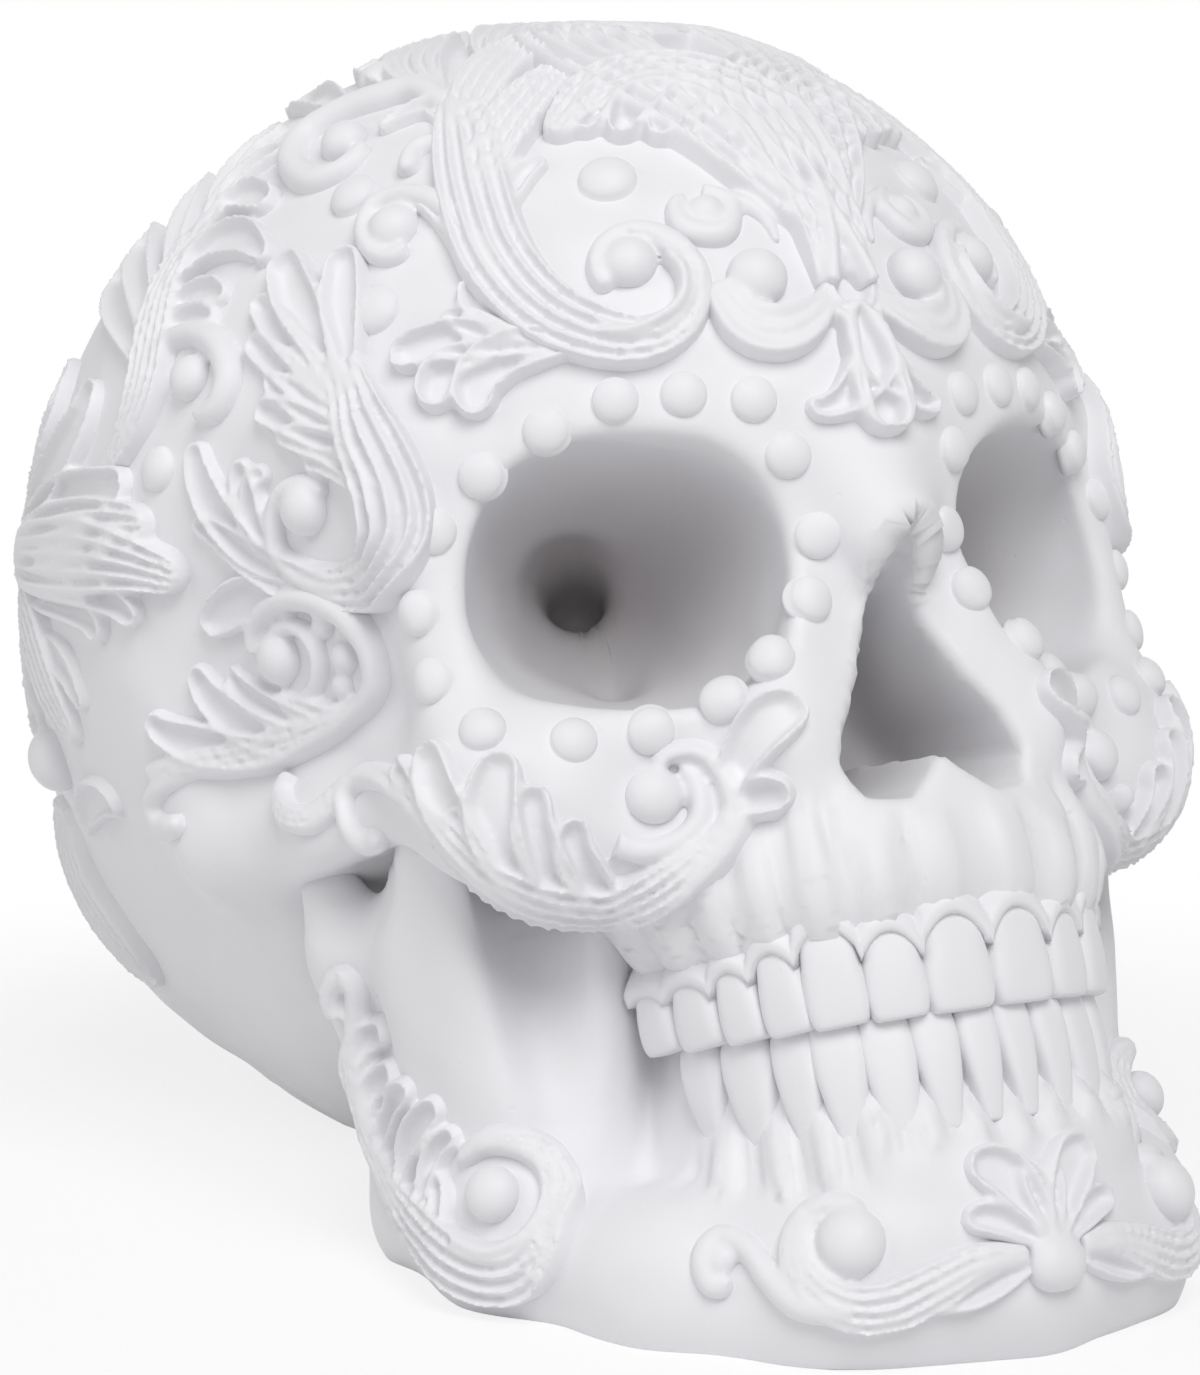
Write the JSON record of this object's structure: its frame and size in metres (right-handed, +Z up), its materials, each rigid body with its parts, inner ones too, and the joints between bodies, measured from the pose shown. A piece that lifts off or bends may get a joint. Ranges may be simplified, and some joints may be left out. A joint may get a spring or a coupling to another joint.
{
  "type": "skull figurine",
  "caption": "Cast skull figurine with open eye sockets and nose, closed bite with separate teeth, raised acanthus scrolls and bead trails; rests on its jaw and nape.",
  "frame": {"origin": "on the ground plane, under the middle of the figurine's bounding box", "axes": "+Z up, the face toward -Y, the figurine's own right side toward -X"},
  "size_m": [0.1306, 0.1902, 0.1392],
  "materials": {
    "bone": "satin cast resin",
    "teeth": "satin cast resin",
    "scrollwork": "satin cast resin"
  },
  "bodies": {
    "root": {"cranium": "bone", "mandible": "bone", "right_upper_tooth_1": "teeth", "right_upper_tooth_2": "teeth", "right_upper_tooth_3": "teeth", "right_upper_tooth_4": "teeth", "right_upper_tooth_5": "teeth", "right_upper_tooth_6": "teeth", "right_upper_tooth_7": "teeth", "right_lower_tooth_1": "teeth", "right_lower_tooth_2": "teeth", "right_lower_tooth_3": "teeth", "right_lower_tooth_4": "teeth", "right_lower_tooth_5": "teeth", "right_lower_tooth_6": "teeth", "right_lower_tooth_7": "teeth", "left_upper_tooth_1": "teeth", "left_upper_tooth_2": "teeth", "left_upper_tooth_3": "teeth", "left_upper_tooth_4": "teeth", "left_upper_tooth_5": "teeth", "left_upper_tooth_6": "teeth", "left_upper_tooth_7": "teeth", "left_lower_tooth_1": "teeth", "left_lower_tooth_2": "teeth", "left_lower_tooth_3": "teeth", "left_lower_tooth_4": "teeth", "left_lower_tooth_5": "teeth", "left_lower_tooth_6": "teeth", "left_lower_tooth_7": "teeth", "right_forehead_scroll": "scrollwork", "right_forehead_disc": "scrollwork", "right_brow_spray": "scrollwork", "right_temple_leaf": "scrollwork", "right_lower_temple_scroll": "scrollwork", "right_parietal_leaf": "scrollwork", "right_side_fan": "scrollwork", "right_nape_leaf": "scrollwork", "right_crown_leaf": "scrollwork", "right_cheek_scroll": "scrollwork", "right_jaw_scroll": "scrollwork", "right_chin_scroll": "scrollwork", "left_forehead_scroll": "scrollwork", "left_forehead_disc": "scrollwork", "left_brow_spray": "scrollwork", "left_temple_leaf": "scrollwork", "left_lower_temple_scroll": "scrollwork", "left_parietal_leaf": "scrollwork", "left_side_fan": "scrollwork", "left_nape_leaf": "scrollwork", "left_crown_leaf": "scrollwork", "left_cheek_scroll": "scrollwork", "left_jaw_scroll": "scrollwork", "left_chin_scroll": "scrollwork", "forehead_crest": "scrollwork", "glabella_palmette": "scrollwork", "chin_flower": "scrollwork"}
  },
  "joints": []
}
